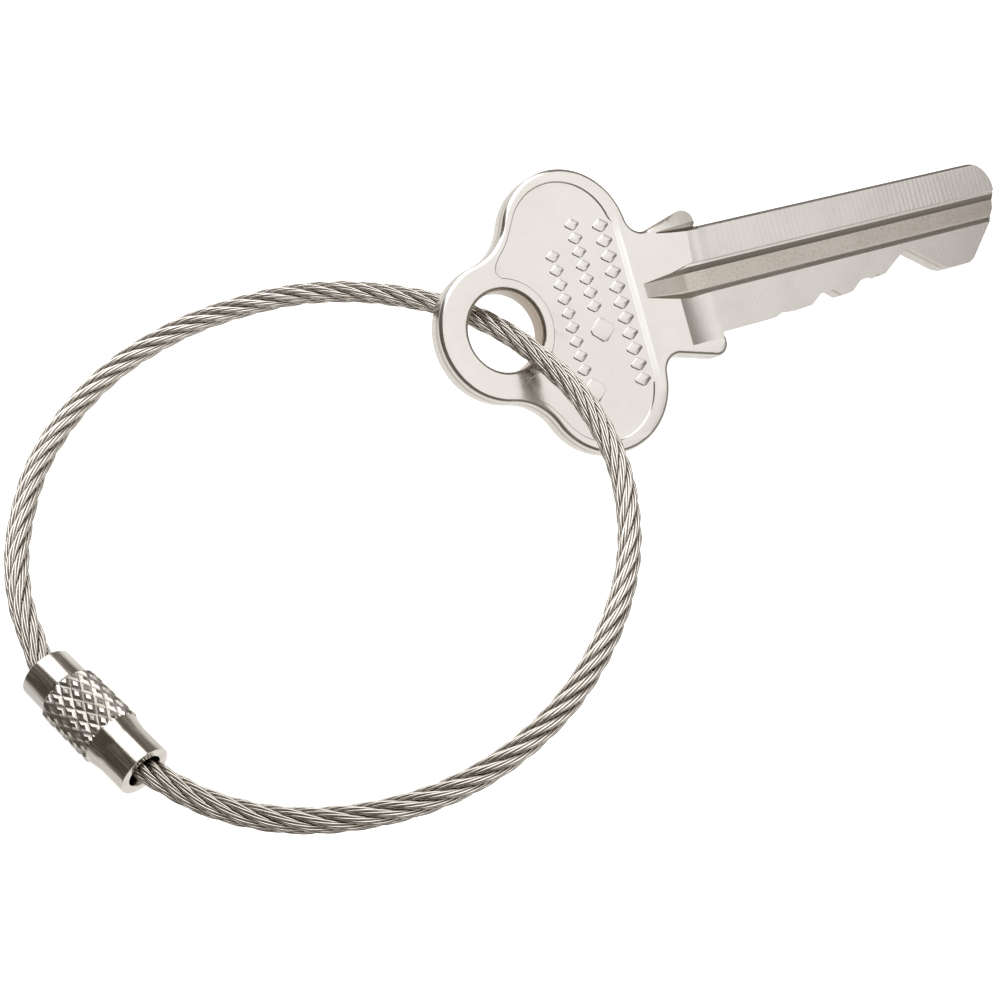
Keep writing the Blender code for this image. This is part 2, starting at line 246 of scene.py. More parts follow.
ROUND_STEPS = 96
THREAD_PITCH = 0.50 * MM
THREAD_R = 1.37 * MM
THREAD_DEPTH = 0.12 * MM
THREAD_GAP = 0.13 * MM
THREAD_ROWS = 10
BARREL_LENGTH = 11.10 * MM
COLLAR_START = 0.55 * MM
COLLAR_R = 1.93 * MM
COLLAR_LENGTH = 2.85 * MM
STUD_END = 6.30 * MM
ROPE_BORE_R = 0.97 * MM
MOUTH_R = 1.28 * MM
CRIMP_START = 2.60 * MM
KNURL_R = 2.19 * MM
KNURL_START = 2.95 * MM
KNURL_END = 7.55 * MM
KNURL_ROUND = 17
KNURL_PITCH = 1.40 * MM
KNURL_DEPTH = 0.14 * MM
TAPER_END = 8.80 * MM
NOSE_R = 1.90 * MM
CAVITY_R = 1.62 * MM
CAVITY_START = 6.55 * MM
CAVITY_END = 9.35 * MM
EXIT_BORE_R = 1.20 * MM
EXIT_FLARE_R = 1.27 * MM


def applied(obj):
    """Bake the object's modifiers into its mesh."""
    bpy.context.view_layer.update()
    mesh = bpy.data.meshes.new_from_object(obj.evaluated_get(bpy.context.evaluated_depsgraph_get()))
    obj.modifiers.clear()
    if obj.type == "MESH":
        obj.data = mesh
        return obj
    made = bpy.data.objects.new(obj.name, mesh)
    made.matrix_world = obj.matrix_world
    bpy.context.scene.collection.objects.link(made)
    bpy.data.objects.remove(obj)
    return made


def welded(obj, distance=1e-7):
    """Weld loose seams and turn the faces outward."""
    bm = bmesh.new()
    bm.from_mesh(obj.data)
    bmesh.ops.remove_doubles(bm, verts=bm.verts, dist=distance)
    bmesh.ops.recalc_face_normals(bm, faces=bm.faces)
    bm.to_mesh(obj.data)
    bm.free()
    return obj


def boolean(obj, other, operation):
    """Combine two solids exactly, and drop the second."""
    step = obj.modifiers.new(other.name, "BOOLEAN")
    step.operation = operation
    step.solver = "EXACT"
    step.object = other
    applied(obj)
    bpy.data.objects.remove(other)
    return obj


def finished(obj, angle=32):
    """Smooth shading with real corners kept, and flat faces kept flat."""
    obj.data.shade_smooth()
    obj.data.set_sharp_from_angle(angle=math.radians(angle))
    weigh = obj.modifiers.new("weigh", "WEIGHTED_NORMAL")
    weigh.keep_sharp = True
    weigh.weight = 50
    return applied(obj)


def turned(name, profile, steps=ROUND_STEPS):
    """A solid of revolution about the barrel's axis, from a closed profile of (radius, height)."""
    mesh = bpy.data.meshes.new(name)
    count = len(profile)
    mesh.from_pydata([(r, 0.0, z) for r, z in profile], [(i, (i + 1) % count) for i in range(count)], [])
    obj = bpy.data.objects.new(name, mesh)
    bpy.context.scene.collection.objects.link(obj)
    screw = obj.modifiers.new("turn", "SCREW")
    screw.steps = steps
    screw.render_steps = steps
    screw.use_merge_vertices = True
    screw.merge_threshold = 1e-7
    return welded(applied(obj))


def thread_rows(start, end, radius):
    """Profile points along a threaded stretch, from its end down to its start."""
    count = round((end - start) / THREAD_PITCH * THREAD_ROWS)
    return [(radius, end + (start - end) * i / count) for i in range(count + 1)]


def cut_thread(obj, start, end, radius):
    """Push a turned wall in and out along a right-hand helix, fading out at both ends."""
    for vert in obj.data.vertices:
        x, y, z = vert.co
        r = math.hypot(x, y)
        if abs(r - radius) > 0.02 * MM or not start - 1e-7 <= z <= end + 1e-7:
            continue
        fade = max(0.0, min(1.0, (z - start) / THREAD_PITCH, (end - z) / THREAD_PITCH))
        wave = math.sin(math.atan2(y, x) - 2 * math.pi * z / THREAD_PITCH)
        scale = (r + THREAD_DEPTH * fade * math.copysign(abs(wave) ** 0.8, wave)) / r
        vert.co = (x * scale, y * scale, z)


def rounded(corner, before, after, radius, steps=4):
    """Profile points of a small round at a corner."""
    c, a, b = (Vector(p) for p in (corner, before, after))
    start = c + (a - c).normalized() * radius
    end = c + (b - c).normalized() * radius
    return [tuple((1 - t) ** 2 * start + 2 * t * (1 - t) * c + t ** 2 * end)
            for t in (k / steps for k in range(steps + 1))]


def soft_profile(points, rounds):
    """A closed profile with the corners named in rounds rounded off."""
    made = []
    for i, p in enumerate(points):
        if i in rounds:
            made += rounded(p, points[i - 1], points[(i + 1) % len(points)], rounds[i])
        else:
            made.append(p)
    return made


def make_threaded_end():
    """Collar and threaded stud that the rope's fixed end is crimped in."""
    start, end = COLLAR_LENGTH + 0.35 * MM, STUD_END - 0.20 * MM
    stud = [(THREAD_R - 0.22 * MM, STUD_END)] + thread_rows(start, end, THREAD_R)
    body = [
        (THREAD_R - 0.14 * MM, COLLAR_LENGTH + 0.20 * MM),
        (THREAD_R - 0.14 * MM, COLLAR_LENGTH),
        (COLLAR_R, COLLAR_LENGTH),
        (COLLAR_R, COLLAR_START),
        (MOUTH_R, COLLAR_START),
        (MOUTH_R, CRIMP_START - 0.20 * MM),
        (ROPE_BORE_R, CRIMP_START),
        (ROPE_BORE_R, STUD_END),
    ]
    first = len(stud)
    rounds = {first + 2: 0.08 * MM, first + 3: 0.14 * MM, first + 4: 0.10 * MM}
    profile = soft_profile(stud + body, rounds)
    obj = turned("threaded_end_fine", profile)
    cut_thread(obj, start, end, THREAD_R)
    obj.matrix_world = BARREL
    return finished(obj)


def knurl_cells():
    """A closed sleeve whose outside is a field of flat-topped diamond pyramids, flared at its ends."""
    rows = round((KNURL_END - KNURL_START) / KNURL_PITCH) + 2
    first = (KNURL_START + KNURL_END) / 2 - rows * KNURL_PITCH / 2
    step = math.pi / KNURL_ROUND
    half = KNURL_PITCH / 2
    low, high = KNURL_R - KNURL_DEPTH, KNURL_R + 0.01 * MM
    verts, faces, seen = [], [], {}

    def at(a, z, r):
        key = (round(a / step * 1000) % (2000 * KNURL_ROUND), round(z * 1e9), round(r * 1e9))
        if key not in seen:
            seen[key] = len(verts)
            verts.append((r * math.cos(a), r * math.sin(a), z))
        return seen[key]

    for row in range(2 * rows + 1):
        for k in range(KNURL_ROUND):
            a0 = (2 * k + row % 2) * step
            z0 = first + row * half
            corners = [(a0 - step, z0), (a0, z0 - half), (a0 + step, z0), (a0, z0 + half)]
            rings = []
            # the valley, the foot of the slope and the flat top, each drawn in towards the cell's middle
            for inset, radius in ((0.0, low), (0.13, low + 0.012 * MM), (0.66, high)):
                rings.append([at(a + (a0 - a) * inset, z + (z0 - z) * inset, radius)
                              for a, z in corners])
            for ring, inner in zip(rings, rings[1:]):
                for i in range(4):
                    j = (i + 1) % 4
                    faces.append((ring[i], ring[j], inner[j], inner[i]))
            faces.append(tuple(rings[-1]))
    obj = mesh_object("knurl_cells", verts, faces, smooth=False)
    bm = bmesh.new()
    bm.from_mesh(obj.data)
    top = [e for e in bm.edges if e.is_boundary and e.verts[0].co.z > (KNURL_START + KNURL_END) / 2]
    low_edges = [e for e in bm.edges if e.is_boundary and e not in top]
    bmesh.ops.holes_fill(bm, edges=top)
    bmesh.ops.holes_fill(bm, edges=low_edges)
    bmesh.ops.recalc_face_normals(bm, faces=bm.faces)
    bm.to_mesh(obj.data)
    bm.free()
    return obj


def make_barrel():
    """Knurled barrel with its inner thread, stop cavity and flared exit."""
    inner_r = THREAD_R + THREAD_GAP
    start, end = KNURL_START + 0.20 * MM, CAVITY_START - 0.10 * MM
    chamfer = 0.16 * MM
    knurl = turned("knurled_barrel_fine", [
        (KNURL_R, KNURL_END), (KNURL_R, KNURL_START + chamfer), (KNURL_R - chamfer, KNURL_START),
        (inner_r + 0.3 * MM, KNURL_START), (inner_r + 0.3 * MM, KNURL_END + 0.18 * MM),
        (KNURL_R - 0.12 * MM, KNURL_END + 0.18 * MM)])
    boolean(knurl, knurl_cells(), "INTERSECT")
    outer = [
        (NOSE_R, BARREL_LENGTH),
        (NOSE_R, TAPER_END),
        (KNURL_R - 0.10 * MM, KNURL_END + 0.10 * MM),
        (KNURL_R - KNURL_DEPTH - 0.02 * MM, KNURL_END - 0.05 * MM),
        (KNURL_R - KNURL_DEPTH - 0.02 * MM, KNURL_START + 0.05 * MM),
        (KNURL_R - KNURL_DEPTH - 0.05 * MM, KNURL_START),
        (inner_r + 0.14 * MM, KNURL_START),
    ]
    thread = thread_rows(start, end, inner_r)[::-1]
    inner = [
        (CAVITY_R, CAVITY_START),
        (CAVITY_R, CAVITY_END),
        (EXIT_BORE_R, CAVITY_END + 0.12 * MM),
        (EXIT_BORE_R, BARREL_LENGTH - 0.30 * MM),
        (EXIT_FLARE_R, BARREL_LENGTH),
    ]
    last = len(outer) + len(thread) + len(inner) - 1
    core = turned("barrel_core", soft_profile(outer + thread + inner, {
        0: 0.10 * MM, 1: 0.25 * MM, 2: 0.10 * MM, last - 1: 0.10 * MM, last: 0.07 * MM}))
    cut_thread(core, start, end, inner_r)
    boolean(core, knurl, "UNION")
    core.name = "knurled_barrel_fine"
    core.matrix_world = BARREL
    return finished(core, 24)


def make_stop():
    """Crimped sleeve on the rope's loose end, with the flats that the crimping tool leaves."""
    start, end, radius = 6.85 * MM, 9.10 * MM, 1.42 * MM
    profile = soft_profile([(radius, end), (radius, start), (ROPE_BORE_R, start), (ROPE_BORE_R, end)],
                           {0: 0.15 * MM, 1: 0.15 * MM})
    rows = 12
    body = [(radius, end - 0.15 * MM - (end - start - 0.30 * MM) * k / rows) for k in range(1, rows)]
    obj = turned("stop_ferrule_fine", profile[:5] + body + profile[5:], 72)
    for vert in obj.data.vertices:
        x, y, z = vert.co
        r = math.hypot(x, y)
        if r < radius - 0.12 * MM:
            continue
        share = math.sin(math.pi * (z - start) / (end - start))
        dent = 0.09 * MM * max(0.0, share) ** 0.7 * (0.5 + 0.5 * math.cos(6 * math.atan2(y, x)))
        vert.co = (x * (r - dent) / r, y * (r - dent) / r, z)
    obj.matrix_world = BARREL
    return finished(obj)


# ------------------------------------------------------------------ key

KEY_HALF = 1.00
BLADE_HALF = 0.994
HOLE_R = 3.22
EYE_R = 5.65
LOBE_R = 5.74
LOBE_CENTRE = (7.50, 5.95)
PANEL_R = 4.67
PANEL_CENTRE = (7.08, 6.03)
CROTCH_R = 4.50
NECK_R = 1.40
NECK_W = 5.27
STOP_CENTRE = (18.60, 5.20)
STOP_BUMP_R = 1.08
BLADE_TOP = 4.72
NOSE_CORNER = (50.15, 2.12)
NOSE_CORNER_R = 2.60
BOW_EDGE = 0.34
BLADE_EDGE = 0.07
BITTING = [
    (52.67, 1.05), (52.43, 0.20), (51.85, -0.55), (48.45, -3.80), (47.80, -4.10), (45.30, -4.05),
    (44.60, -3.80), (41.50, -1.68), (41.05, -1.55), (40.50, -1.62), (38.00, -3.10), (37.55, -3.18),
    (37.35, -3.02), (36.90, -2.98), (36.60, -3.08), (35.30, -3.00), (33.95, -3.90), (33.40, -3.98),
    (32.90, -3.95), (32.25, -3.42), (32.00, -3.30), (31.60, -3.36), (30.80, -3.22), (29.30, -4.14),
    (28.60, -4.20), (27.60, -4.12), (26.90, -4.00), (26.50, -4.08), (26.20, -4.02), (25.30, -4.36),
    (14.00, -4.36),
]
PANEL_FLOOR = 0.87
PANEL_ROUND = 0.12
GROOVE_FLOOR = 0.42
UPPER_FLAT = 0.86
LOWER_FLAT = 0.70
LOZENGE_CLIP = 0.18
EMBOSS_ROOT = 0.10
EMBOSS_RISE = 0.115
EMBOSS_EDGE = 0.05

# Cutters end above the key's faces and past the blade's tip
ABOVE = 1.6
PAST_TIP = 60.0


def arc(centre, radius, start, end, steps):
    """Points on a circle, angles in degrees, millimetres."""
    turns = [math.radians(start + (end - start) * i / steps) for i in range(steps + 1)]
    return [(centre[0] + radius * math.cos(a), centre[1] + radius * math.sin(a)) for a in turns]


def bearing(a, b):
    """Direction from a to b in degrees."""
    return math.degrees(math.atan2(b[1] - a[1], b[0] - a[0]))


def mirrored(points):
    """The same points below the key's middle line, in reverse order."""
    return [(s, -w) for s, w in reversed(points)]


def bow_half():
    """Upper edge of the bow, from the eye's end to the stop."""
    a, b = Vector((0.0, 0.0)), Vector(LOBE_CENTRE)
    gap = (b - a).length
    d0, d1 = EYE_R + CROTCH_R, LOBE_R + CROTCH_R
    reach = (d0 ** 2 - d1 ** 2 + gap ** 2) / (2 * gap)
    across = math.sqrt(d0 ** 2 - reach ** 2)
    line = (b - a) / gap
    crotch = tuple(a + line * reach + Vector((-line.y, line.x)) * across)
    neck_w = NECK_W + NECK_R
    neck = (LOBE_CENTRE[0] + math.sqrt((LOBE_R + NECK_R) ** 2 - (neck_w - LOBE_CENTRE[1]) ** 2), neck_w)
    points = arc((0, 0), EYE_R, 180, bearing((0, 0), crotch), 24)
    points += arc(crotch, CROTCH_R, bearing(crotch, (0, 0)), bearing(crotch, LOBE_CENTRE), 14)[1:]
    points += arc(LOBE_CENTRE, LOBE_R, bearing(LOBE_CENTRE, crotch), bearing(LOBE_CENTRE, neck), 40)[1:]
    points += arc(neck, NECK_R, bearing(neck, LOBE_CENTRE) % 360, 286, 14)[1:]
    points += arc(STOP_CENTRE, STOP_BUMP_R, 106, 0, 16)
    return points


def plate(name, outlines, low, high, edge, segments=4):
    """A flat plate between two heights with its edges rounded, from an outline and its holes (mm)."""
    curve = bpy.data.curves.new(name, "CURVE")
    curve.dimensions = "2D"
    curve.fill_mode = "BOTH"
    curve.extrude = ((high - low) / 2 - edge) * MM
    curve.bevel_depth = edge * MM
    curve.bevel_resolution = segments
    curve.offset = -edge * MM
    for outline in outlines:
        spline = curve.splines.new("POLY")
        spline.points.add(len(outline) - 1)
        for point, (x, y) in zip(spline.points, outline):
            point.co = (x * MM, y * MM, 0.0, 1.0)
        spline.use_cyclic_u = True
    obj = bpy.data.objects.new(name, curve)
    bpy.context.scene.collection.objects.link(obj)
    obj = applied(obj)
    obj.data.transform(Matrix.Translation((0, 0, (high + low) / 2 * MM)))
    return welded(obj)


def loft(name, sections):
    """A solid through closed sections of the same number of points (mm)."""
    cols = len(sections[0])
    verts = [tuple(c * MM for c in p) for section in sections for p in section]
    obj = mesh_object(name, verts, tube_faces(len(sections), cols, 0), smooth=False)
    return welded(obj, 1e-9)


def groove_section(s, depth, top_line, top, floor_top, floor_bottom, bottom):
    """Section of the main groove at one place: a small ledge, a sloping wall, the floor, a wall."""
    floor = KEY_HALF - depth - 0.01
    lip = KEY_HALF - min(0.53 * depth, 0.16 + 1 - UPPER_FLAT)
    slope = (ABOVE - KEY_HALF) * 0.9
    lower_lip = KEY_HALF - (KEY_HALF - LOWER_FLAT) * min(1, depth * 2)
    wall = [(s, floor_bottom + (bottom - floor_bottom) * u, floor + (lower_lip - floor) * u * u)
            for u in (0.3, 0.6, 1.0)]
    ledge = [(s, top_line + 0.02, ABOVE), (s, top_line, lip + 0.10),
             (s, max(top_line - 0.10, top + 0.01), lip), (s, top, lip)]
    return ledge + [(s, floor_top, floor), (s, floor_bottom, floor)] + wall + [(s, bottom - slope, ABOVE)]


def make_groove():
    """The long groove, running out to a point towards the bow."""
    full = KEY_HALF - GROOVE_FLOOR
    run = 5.0
    sections = []
    for s in [13.15, 13.5, 14.0, 14.6, 15.3, 16.0, 16.8, 17.4, 18.0, PAST_TIP]:
        depth = full * (1 - max(0.0, 1 - (s - 13.1) / run) ** 1.06)
        share = max(0.02, depth / full)
        rise = min(1.0, max(0.0, (s - 16.2) / 2.2))
        top = 1.02 + 0.53 * share
        floor_bottom = -0.10 - 0.22 * min(1, share * 1.4)
        bottom = -0.14 - 0.78 * min(1, share * 1.2)
        sections.append(groove_section(s, depth, top + 0.02 + 0.28 * rise, top,
                                       1.00 + 0.07 * share, floor_bottom, bottom))
    return loft("groove", sections)


def make_flat(name, start, level, low, high, run, slant=0.0):
    """A milled flat that starts in a hollow ramp where the cutter came out."""
    drop = KEY_HALF - level
    stations = [start + run * k / 10 for k in range(11)] + [PAST_TIP]
    levels = [level + drop * 0.98 * max(0.0, 1 - (s - start) / run) ** 2 for s in stations]
    sections = []
    for w, shift in ((low, 0.0), (high, slant)):
        ring = [(s + shift * max(0.0, 1 - (s - start) / (2 * run)), w, t) for s, t in zip(stations, levels)]
        ring += [(PAST_TIP, w, ABOVE), (ring[0][0], w, ABOVE)]
        sections.append(ring)
    return loft(name, sections)


def make_wedge(name, points):
    """A pointed notch: sections of (s, lower edge, root, upper edge, depth)."""
    sections = []
    for s, low, root, high, depth in points:
        sections.append([(s, low, KEY_HALF + 0.02), (s, root, KEY_HALF - depth), (s, high, KEY_HALF + 0.02),
                         (s, high, ABOVE), (s, low, ABOVE)])
    return loft(name, sections)


def panel_outline():
    """The sunk panel of the bow."""
    edge = arc(PANEL_CENTRE, PANEL_R, 12, 152, 26)
    notch = smooth_route([(x, y, 0.0) for x, y in
                          (edge[-1], (2.45, 7.40), (1.85, 6.55), (1.05, 5.75), (0.50, 5.05), (0.42, 4.45),
                           (0.85, 4.02))], 16)
    upper = [(12.12, edge[0][1] - 0.8)] + edge + [(p[0], p[1]) for p in notch[1:-1]]
    eye = arc((0, 0), 4.10, 78, -78, 40)
    return upper + eye + mirrored(upper)


def lozenge(centre, half_s, half_w):
    """A rhombus outline with clipped points."""
    s, w = centre
    clip_s, clip_w = LOZENGE_CLIP * half_s, LOZENGE_CLIP * half_w
    return [(s + half_s, w + clip_w), (s + clip_s, w + half_w), (s - clip_s, w + half_w),
            (s - half_s, w + clip_w), (s - half_s, w - clip_w), (s - clip_s, w - half_w),
            (s + clip_s, w - half_w), (s + half_s, w - clip_w)]


def embossing():
    """Rows of plain solid lozenges, raised, where the bow is decorated."""
    rows = [
        (5.75, [4.85 - 1.17 * k for k in range(9)], 0.60, 0.46),
        (8.20, [7.00 - 1.13 * k for k in range(7)], 0.62, 0.45),
        (10.75, [6.45 - 1.29 * k for k in range(11)], 0.72, 0.51),
        (6.15, [-6.30], 0.99, 0.94),
        (8.35, [-1.75], 1.04, 0.96),
    ]
    pieces = [lozenge((s, w), half_s, half_w) for s, places, half_s, half_w in rows for w in places]
    return plate("embossing", pieces, PANEL_FLOOR - EMBOSS_ROOT, PANEL_FLOOR + EMBOSS_RISE, EMBOSS_EDGE, 1)


def make_key():
    """The key as one solid: rounded bow, blade, panel, ridge, embossing, milled flats and grooves."""
    upper = bow_half()
    bow = plate("key_fine", [upper + mirrored(upper[1:]), arc((0, 0), HOLE_R, 0, 354, 59)],
                -KEY_HALF, KEY_HALF, BOW_EDGE)
    blade = [(14.0, BLADE_TOP)] + arc(NOSE_CORNER, NOSE_CORNER_R, 90, 0, 18) + BITTING
    boolean(bow, plate("blade", [blade], -BLADE_HALF, BLADE_HALF, BLADE_EDGE, 2), "UNION")
    boolean(bow, plate("panel", [panel_outline()], PANEL_FLOOR, ABOVE, PANEL_ROUND, 3), "DIFFERENCE")
    ridge = [(12.52, KEY_HALF + 0.02), (11.96, PANEL_FLOOR), (11.70, PANEL_FLOOR), (11.70, KEY_HALF + 0.5),
             (12.52, KEY_HALF + 0.5)]
    ends = ((-7.9, 0.15), (-6.7, 0.0), (6.3, 0.0), (7.4, 0.15))
    boolean(bow, loft("ridge", [[(s, w, t + lift) for s, t in ridge] for w, lift in ends]), "DIFFERENCE")
    boolean(bow, embossing(), "UNION")
    boolean(bow, make_flat("upper_flat", 18.25, UPPER_FLAT, 1.2, 5.4, 2.9, 0.45), "DIFFERENCE")
    boolean(bow, make_flat("lower_flat", 16.22, LOWER_FLAT, -4.86, -0.5, 3.9), "DIFFERENCE")
    boolean(bow, make_groove(), "DIFFERENCE")
    notch = [(15.6, 4.78, 4.86, 4.90, 0.02), (17.0, 4.58, 4.86, 5.02, 0.30), (19.9, 4.28, 4.80, 5.20, 0.50)]
    boolean(bow, make_wedge("upper_notch", notch), "DIFFERENCE")
    slope = [(4.86, 1.004), (6.70, 0.72), (6.70, ABOVE), (4.86, ABOVE)]
    lifts = ((14.6, 0.42), (16.4, 0.12), (18.2, 0.0), (20.5, 0.0))
    slopes = [[(s, w, t + lift) for w, t in slope] for s, lift in lifts]
    boolean(bow, loft("stop_slope", slopes), "DIFFERENCE")
    round_edge = [(4.36, UPPER_FLAT + 0.01), (4.50, UPPER_FLAT - 0.02), (4.61, UPPER_FLAT - 0.08),
                  (4.69, UPPER_FLAT - 0.17), (4.73, UPPER_FLAT - 0.30), (5.0, 0.5),
                  (5.0, ABOVE), (4.36, ABOVE)]
    edges = [[(s, w, t) for w, t in round_edge] for s in (19.72, PAST_TIP)]
    boolean(bow, loft("top_edge", edges), "DIFFERENCE")
    back = [[(s, w, t) for w, t in ((1.45, -ABOVE), (1.62, level), (2.98, level), (3.25, -ABOVE))]
            for s, level in ((15.0, -1.05), (17.5, -0.37), (PAST_TIP, -0.35))]
    boolean(bow, loft("back_groove", back), "DIFFERENCE")
    bow.matrix_world = KEY
    return finished(bow, 24)


stud = make_threaded_end()
barrel = make_barrel()
stop = make_stop()
key = make_key()

for piece, body, node, slot in ((stud, "ring", "threaded_end", "stud"),
                                (stop, "loose_end", "stop_ferrule", "stop"),
                                (barrel, "barrel", "knurled_barrel", "barrel"),
                                (key, "key", "key", "key")):
    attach(piece, body)
    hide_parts(node)


# ------------------------------------------------------------------ how the rope follows

def rope_share():
    """How far each place along the rope goes with its loose end: 0 up to the bend's start, 1 past its end."""
    rise = np.clip((along / ROPE_LENGTH - BEND_START) / (BEND_END - BEND_START), 0.0, 1.0)
    return rise * rise * (3 - 2 * rise)


def spread_blend():
    """Give every point of the rope the share that belongs to its place along the route."""
    weights = rope.data.attributes["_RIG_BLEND"]
    share = np.concatenate([np.repeat(rope_share(), n) for n in rope_columns])
    weights.data.foreach_set("value", share.astype(np.float32))


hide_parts("wire_rope")
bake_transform(rope, "ring", "loose_end", start=tuple(rope_path[330]), end=tuple(rope_path[600]))
spread_blend()


# ------------------------------------------------------------------ materials

def node(tree, kind, inputs=None, **props):
    """Add a shader node; its inputs are plain values or sockets to link."""
    made = tree.nodes.new(kind)
    for name, value in props.items():
        setattr(made, name, value)
    for name, value in (inputs or {}).items():
        if isinstance(value, bpy.types.NodeSocket):
            tree.links.new(value, made.inputs[name])
        else:
            made.inputs[name].default_value = value
    return made


def maths(tree, operation, *values):
    """One step of arithmetic."""
    return node(tree, "ShaderNodeMath", dict(enumerate(values)), operation=operation).outputs[0]


def product(tree, first, *others):
    """Several values multiplied."""
    for other in others:
        first = maths(tree, "MULTIPLY", first, other)
    return first


def ramp(tree, value, low, high, to_low=0.0, to_high=1.0):
    """Map a range smoothly to another one."""
    return node(tree, "ShaderNodeMapRange", {"Value": value, "From Min": low, "From Max": high,
                                             "To Min": to_low, "To Max": to_high},
                interpolation_type="SMOOTHSTEP").outputs[0]


def band(tree, value, rise, fall):
    """1 between two soft edges, 0 outside them."""
    return product(tree, ramp(tree, value, *rise), ramp(tree, value, *fall, 1.0, 0.0))


def from_axis(tree, parts):
    """Distance from the piece's own Z axis."""
    flat = node(tree, "ShaderNodeCombineXYZ", {0: parts[0], 1: parts[1]}).outputs[0]
    return node(tree, "ShaderNodeVectorMath", {0: flat}, operation="LENGTH").outputs["Value"]


def tint(tree, factor, first, second):
    """Blend two colours."""
    inputs = {0: factor}
    for index, colour in ((6, first), (7, second)):
        inputs[index] = colour if isinstance(colour, bpy.types.NodeSocket) else (*colour, 1.0)
    return node(tree, "ShaderNodeMix", inputs, data_type="RGBA").outputs[2]


def noise(tree, place, stretch, size, detail=3.0):
    """Noise with features of about the given size in metres, stretched by a factor on each axis."""
    spot = node(tree, "ShaderNodeMapping", {"Vector": place, "Scale": stretch}).outputs[0]
    inputs = {"Vector": spot, "Scale": 1.0 / size, "Detail": detail}
    return node(tree, "ShaderNodeTexNoise", inputs).outputs[0]


def metal(name):
    """A new metallic material: its tree, shader, place on the object and the three parts of that place."""
    material = bpy.data.materials.new(name)
    material.use_nodes = True
    tree = material.node_tree
    shader = tree.nodes["Principled BSDF"]
    shader.inputs["Metallic"].default_value = 1.0
    place = node(tree, "ShaderNodeTexCoord").outputs["Object"]
    parts = node(tree, "ShaderNodeSeparateXYZ", {0: place}).outputs
    return material, tree, shader, place, parts


def surface(tree, shader, colour, roughness, height, depth):
    """Connect colour, roughness and relief (depth in metres) to the shader."""
    tree.links.new(colour, shader.inputs["Base Color"])
    tree.links.new(roughness, shader.inputs["Roughness"])
    relief = node(tree, "ShaderNodeBump", {"Height": height, "Distance": depth, "Strength": 1.0}).outputs[0]
    tree.links.new(relief, shader.inputs["Normal"])


def scratches(tree, place):
    """Thin stray scratches in two directions, 0 to 1."""
    lines = []
    for turn, size in ((0.55, 0.6 * MM), (-0.8, 0.8 * MM)):
        turned_place = node(tree, "ShaderNodeVectorRotate", {"Vector": place, "Angle": turn}).outputs[0]
        lines.append(ramp(tree, noise(tree, turned_place, (0.035, 1.0, 1.0), size * 0.12, 2.0), 0.66, 0.74))
    return maths(tree, "MAXIMUM", *lines)


def rope_metal():
    """Drawn steel wires: bright crests, painted shade in the valleys between them, and painted shade towards
    the barrel.
    """
    material, tree, shader, place, parts = metal("rope_steel")
    height = node(tree, "ShaderNodeAttribute", attribute_name="wire_height").outputs["Fac"]
    crest = ramp(tree, height, 0.63, 0.88)
    patina = noise(tree, place, (1, 1, 1), 1.6 * MM)
    fine = noise(tree, place, (1, 1, 1), 0.05 * MM, 2.0)
    bright = tint(tree, patina, (0.81, 0.78, 0.74), (0.66, 0.62, 0.57))
    # painted shade: the rope is coloured darker on the barrel's side of the loop (y below about -16 mm),
    # blotched by the patina noise
    painted_shade = product(tree, ramp(tree, parts[1], -26 * MM, -16 * MM, 0.60, 0.0),
                    ramp(tree, patina, 0.3, 0.6, 0.7, 1.0))
    bright = tint(tree, painted_shade, bright, (0.50, 0.465, 0.42))
    # painted shade: the valleys between the wires are coloured dark where the wires meet
    colour = tint(tree, crest, (0.20, 0.17, 0.14), bright)
    rough = maths(tree, "ADD", product(tree, patina, 0.16), ramp(tree, crest, 0.0, 1.0, 0.42, 0.13))
    surface(tree, shader, colour, rough, maths(tree, "MULTIPLY_ADD", fine, 0.6, patina), 0.0016 * MM)
    return material


